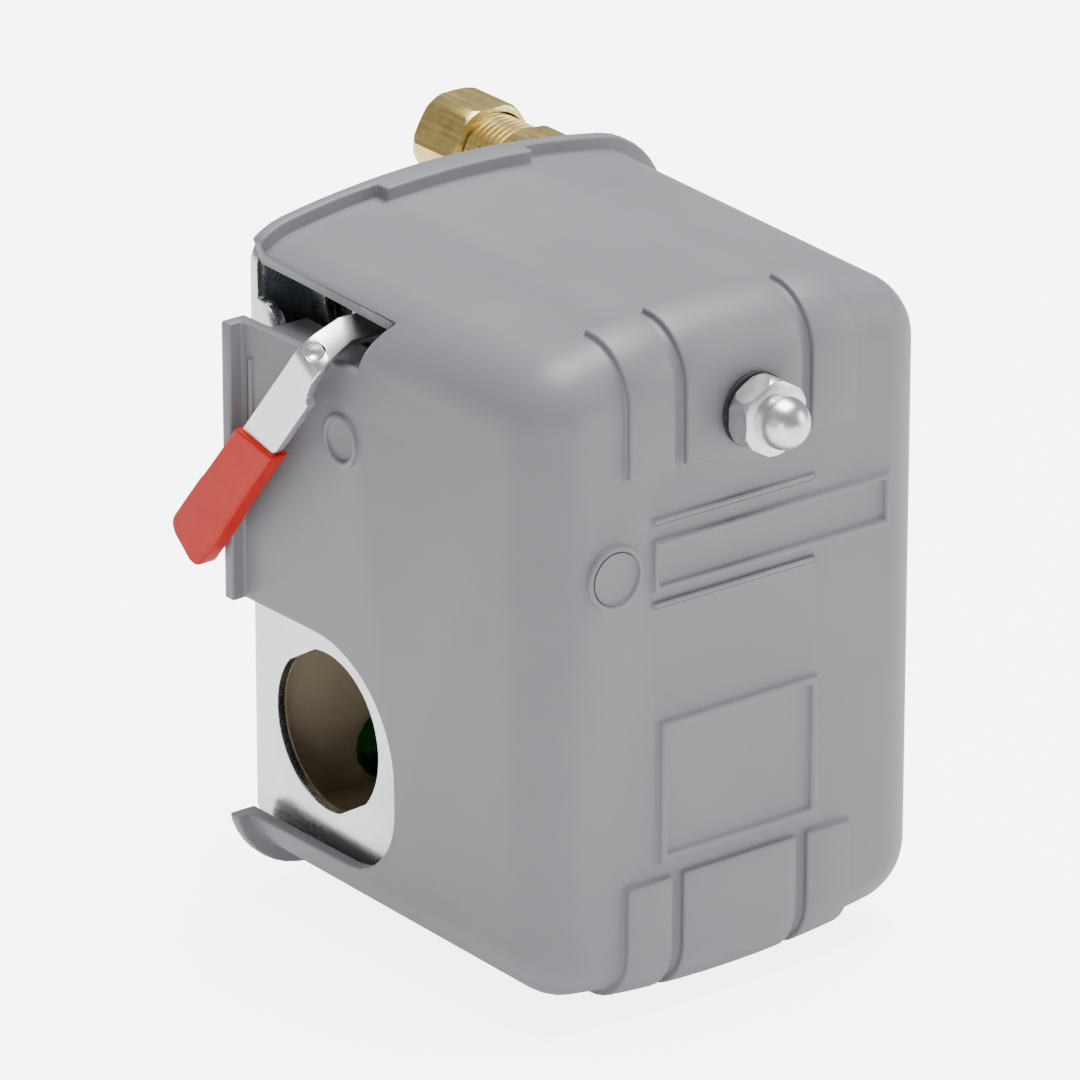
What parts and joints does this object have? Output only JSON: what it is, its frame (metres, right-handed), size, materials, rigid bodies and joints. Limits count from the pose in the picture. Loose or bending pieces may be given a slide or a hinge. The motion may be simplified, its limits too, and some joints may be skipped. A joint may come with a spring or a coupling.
{
  "type": "pressure switch",
  "caption": "Air compressor pressure switch: grey moulded cover on a zinc-plated frame, auto/off lever with a red grip, rear pipe port and a brass release valve.",
  "frame": {"origin": "centre of the pipe port's mouth, at the back", "axes": "+Y out of the pipe port, +Z towards the cover nut's end, +X to the right seen from the cover's face"},
  "size_m": [0.0743, 0.1004, 0.0955],
  "materials": {
    "grey_plastic": "satin moulded, mid grey",
    "black_plastic": "moulded phenolic, black",
    "red_vinyl": "dipped vinyl, orange red",
    "rubber": "moulded sheet, black",
    "zinc_plate": "pressed sheet, clear zinc plated",
    "bright_plate": "turned, bright nickel plated",
    "spring_steel": "drawn wire or strip",
    "die_cast": "die cast, as cast",
    "brass": "machined from bar",
    "copper": "stamped strip, plain copper",
    "green_plate": "green passivated steel"
  },
  "bodies": {
    "base": {"cover": "grey_plastic", "cover_nut": "bright_plate", "cover_nut_washer": "rubber", "frame": "zinc_plate", "ground_screw_1": "green_plate", "ground_screw_2": "green_plate", "pressure_flange": "die_cast", "flange_screw_1": "zinc_plate", "flange_screw_2": "zinc_plate", "flange_screw_3": "zinc_plate", "flange_screw_4": "zinc_plate", "diaphragm": "rubber", "plate_pivot_pin": "spring_steel", "range_stud": "zinc_plate", "range_spring": "spring_steel", "differential_stud": "zinc_plate", "differential_spring": "spring_steel", "terminal_block": "black_plastic", "block_screw_1": "zinc_plate", "block_screw_2": "zinc_plate", "terminal_1": "brass", "terminal_2": "brass", "terminal_3": "brass", "terminal_4": "brass", "terminal_screw_1": "zinc_plate", "terminal_screw_2": "zinc_plate", "terminal_screw_3": "zinc_plate", "terminal_screw_4": "zinc_plate", "carrier_pivot_pin": "spring_steel", "toggle_spring": "spring_steel", "valve_body": "brass", "valve_spring": "spring_steel", "ferrule": "brass", "compression_nut": "brass"},
    "lever": {"auto_off_lever": "bright_plate", "lever_grip": "red_vinyl", "lever_pivot_pin": "bright_plate", "lever_cam": "zinc_plate"},
    "plate": {"operating_plate": "zinc_plate"},
    "plunger": {"diaphragm_plunger": "die_cast"},
    "contacts": {"contact_carrier": "black_plastic", "moving_contact_1": "copper", "moving_contact_2": "copper"},
    "valve_stem": {"valve_plunger": "spring_steel"},
    "range_seat": {"range_spring_seat": "zinc_plate"},
    "range_adjuster": {"range_nut": "bright_plate"},
    "differential_seat": {"differential_spring_seat": "zinc_plate"},
    "differential_adjuster": {"differential_nut": "bright_plate"}
  },
  "joints": [
    {"name": "lever_turn", "type": "hinge", "parent": "base", "child": "lever", "pos_m": [-0.0236, -0.04, 0.0304], "axis": [-1, 0, 0], "range_deg": [0, 35]},
    {"name": "plate_tilt", "type": "hinge", "parent": "base", "child": "plate", "pos_m": [0, -0.0264, -0.0105], "axis": [1, 0, 0], "range_deg": [0, 4], "stiffness_Nm_per_rad": 0.6, "springref_deg": -2.86, "deforming": ["range_spring", "differential_spring", "toggle_spring"]},
    {"name": "plunger_travel", "type": "slide", "parent": "base", "child": "plunger", "axis": [0, -1, 0], "range_m": [0, 0.00075], "deforming": ["diaphragm"]},
    {"name": "contacts_rock", "type": "hinge", "parent": "base", "child": "contacts", "pos_m": [0, -0.054, -0.009], "axis": [-1, 0, 0], "range_deg": [0, 10.1], "deforming": ["toggle_spring"]},
    {"name": "valve_stem_travel", "type": "slide", "parent": "base", "child": "valve_stem", "axis": [0, -1, 0], "range_m": [0, 0.003], "deforming": ["valve_spring"]},
    {"name": "range_nut_turn", "type": "hinge", "parent": "range_seat", "child": "range_adjuster", "pos_m": [0.0011, -0.065, 0.0264], "axis": [0, 1, 0], "range_deg": [0, 1080]},
    {"name": "range_seat_travel", "type": "slide", "parent": "base", "child": "range_seat", "axis": [0, 1, 0], "range_m": [0, 0.0032], "deforming": ["range_spring"]},
    {"name": "differential_nut_turn", "type": "hinge", "parent": "differential_seat", "child": "differential_adjuster", "pos_m": [-0.0135, -0.056, 0.0245], "axis": [0, 1, 0], "range_deg": [0, 1080]},
    {"name": "differential_seat_travel", "type": "slide", "parent": "base", "child": "differential_seat", "axis": [0, 1, 0], "range_m": [0, 0.0024], "deforming": ["differential_spring"]}
  ],
  "couplings": [
    {"joint": "plunger_travel", "follows": "plate_tilt", "m_per_rad": 0.0105},
    {"joint": "contacts_rock", "follows": "plate_tilt", "ratio": 2.5},
    {"joint": "valve_stem_travel", "follows": "plate_tilt", "m_per_rad": 0.0429},
    {"joint": "range_seat_travel", "follows": "range_nut_turn", "m_per_rad": 0.0001684},
    {"joint": "differential_seat_travel", "follows": "differential_nut_turn", "m_per_rad": 0.0001263}
  ]
}
